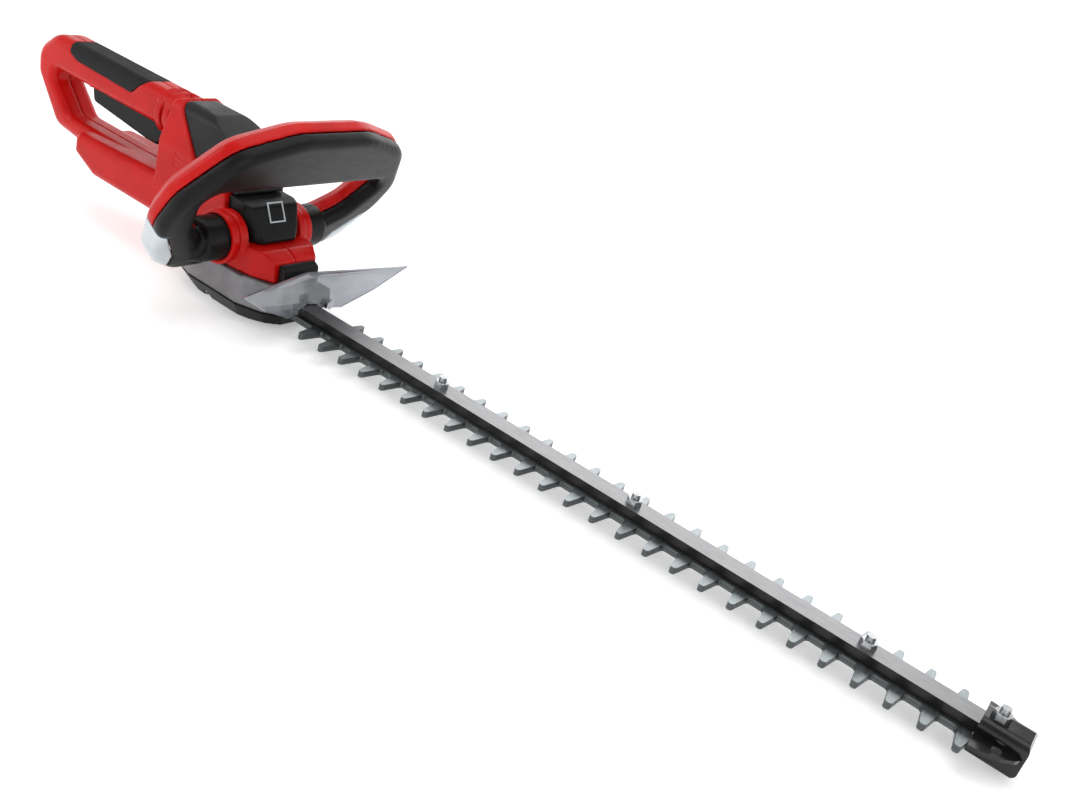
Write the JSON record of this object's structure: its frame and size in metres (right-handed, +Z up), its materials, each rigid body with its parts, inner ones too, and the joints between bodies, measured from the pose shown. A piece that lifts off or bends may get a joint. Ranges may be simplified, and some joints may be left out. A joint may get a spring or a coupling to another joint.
{
  "type": "hedge trimmer",
  "caption": "Cordless hedge trimmer: rear loop grip with trigger, front handle with switch bar, clear hand shield and a long double-sided reciprocating blade.",
  "frame": {"origin": "on the surface that the tool stands on, under the middle of its overall box", "axes": "+X along the guide bar to its tip, +Y to the left of a person holding the tool, +Z up"},
  "size_m": [0.9466, 0.226, 0.171],
  "materials": {
    "red_plastic": "satin moulded plastic",
    "black_plastic": "fine textured moulded plastic",
    "grey_cover": "satin moulded plastic",
    "grey_case": "metallic grey moulded plastic",
    "soft_grip": "soft-touch overmould",
    "silver_cap": "silver painted plastic",
    "shield_clear": "smoked clear polycarbonate",
    "bar_steel": "brushed steel",
    "blade_steel": "ground steel",
    "zinc": "zinc plated",
    "guard_plastic": "gloss moulded plastic",
    "gear_steel": "sintered steel",
    "shaft_steel": "ground steel",
    "bronze": "sintered bronze",
    "magnet": "ferrite",
    "carbon": "carbon",
    "copper": "copper",
    "board_green": "solder-masked laminate"
  },
  "bodies": {
    "tool_body": {"housing_right": "red_plastic", "housing_left": "red_plastic", "grip_pad": "soft_grip", "top_cover": "grey_cover", "nose_cover": "black_plastic", "front_block": "black_plastic", "gear_case": "grey_case", "belly_plate": "black_plastic", "guide_bar": "bar_steel", "bar_plate": "bar_steel", "blade_studs": "zinc", "stud_nuts": "zinc", "blade_bushes": "shaft_steel", "tip_guard": "guard_plastic", "hand_shield": "shield_clear", "shield_bracket": "black_plastic", "shield_screws": "zinc", "bail_front_shell": "black_plastic", "bail_rear_shell": "red_plastic", "bail_corner_caps": "silver_cap", "bail_collars": "red_plastic", "motor_can": "shaft_steel", "motor_magnets": "magnet", "motor_end_bell": "black_plastic", "carbon_brushes": "carbon", "brush_holders": "bronze", "motor_bearings": "bronze", "upper_bearing": "shaft_steel", "lower_bush": "bronze", "trigger_pin": "shaft_steel", "trigger_spring": "zinc", "rear_switch": "black_plastic", "front_switch": "black_plastic", "control_board": "board_green", "terminal_block": "black_plastic", "battery_contacts": "copper", "housing_screws": "zinc", "case_screws": "zinc", "plate_screws": "zinc"},
    "rotor": {"rotor_shaft": "shaft_steel", "armature_core": "gear_steel", "armature_windings": "copper", "commutator": "copper", "pinion": "gear_steel"},
    "crank": {"drive_gear": "gear_steel", "crank_shaft": "shaft_steel", "upper_crank_disc": "gear_steel", "lower_crank_disc": "gear_steel", "crank_spacer": "gear_steel"},
    "upper_blade_body": {"upper_blade": "blade_steel"},
    "lower_blade_body": {"lower_blade": "blade_steel"},
    "trigger_body": {"rear_trigger": "black_plastic"},
    "switch_bar_body": {"front_switch_bar": "black_plastic"},
    "rear_plunger_body": {"rear_plunger": "board_green"},
    "front_plunger_body": {"front_plunger": "board_green"}
  },
  "joints": [
    {"name": "crank_spin", "type": "hinge", "parent": "tool_body", "child": "crank", "pos_m": [-0.16913, 0, 0.022], "axis": [0, 0, 1], "continuous": true},
    {"name": "rotor_spin", "type": "hinge", "parent": "tool_body", "child": "rotor", "pos_m": [-0.19333, 0, 0.054], "axis": [0, 0, 1], "continuous": true},
    {"name": "upper_blade_slide", "type": "slide", "parent": "tool_body", "child": "upper_blade_body", "axis": [1, 0, 0], "range_m": [-0.0053, 0.0053]},
    {"name": "lower_blade_slide", "type": "slide", "parent": "tool_body", "child": "lower_blade_body", "axis": [1, 0, 0], "range_m": [-0.0053, 0.0053]},
    {"name": "rear_trigger_pivot", "type": "hinge", "parent": "tool_body", "child": "trigger_body", "pos_m": [-0.39723, 0, 0.111], "axis": [0, -1, 0], "range_deg": [0, 4], "stiffness_Nm_per_rad": 4, "springref_deg": -2.86, "deforming": ["trigger_spring"]},
    {"name": "front_switch_slide", "type": "slide", "parent": "tool_body", "child": "switch_bar_body", "axis": [0.5299, 0, 0.848], "range_m": [0, 0.004], "stiffness_N_per_m": 800, "springref_m": -0.003},
    {"name": "rear_plunger_slide", "type": "slide", "parent": "tool_body", "child": "rear_plunger_body", "axis": [0, 0, 1], "range_m": [0, 0.0028]},
    {"name": "front_plunger_slide", "type": "slide", "parent": "tool_body", "child": "front_plunger_body", "axis": [0.5299, 0, 0.848], "range_m": [0, 0.0036]}
  ],
  "couplings": [
    {"joint": "rotor_spin", "follows": "crank_spin", "ratio": -5},
    {"joint": "lower_blade_slide", "follows": "upper_blade_slide", "ratio": -1},
    {"joint": "rear_plunger_slide", "follows": "rear_trigger_pivot", "m_per_rad": 0.0387},
    {"joint": "front_plunger_slide", "follows": "front_switch_slide", "ratio": 0.85}
  ]
}
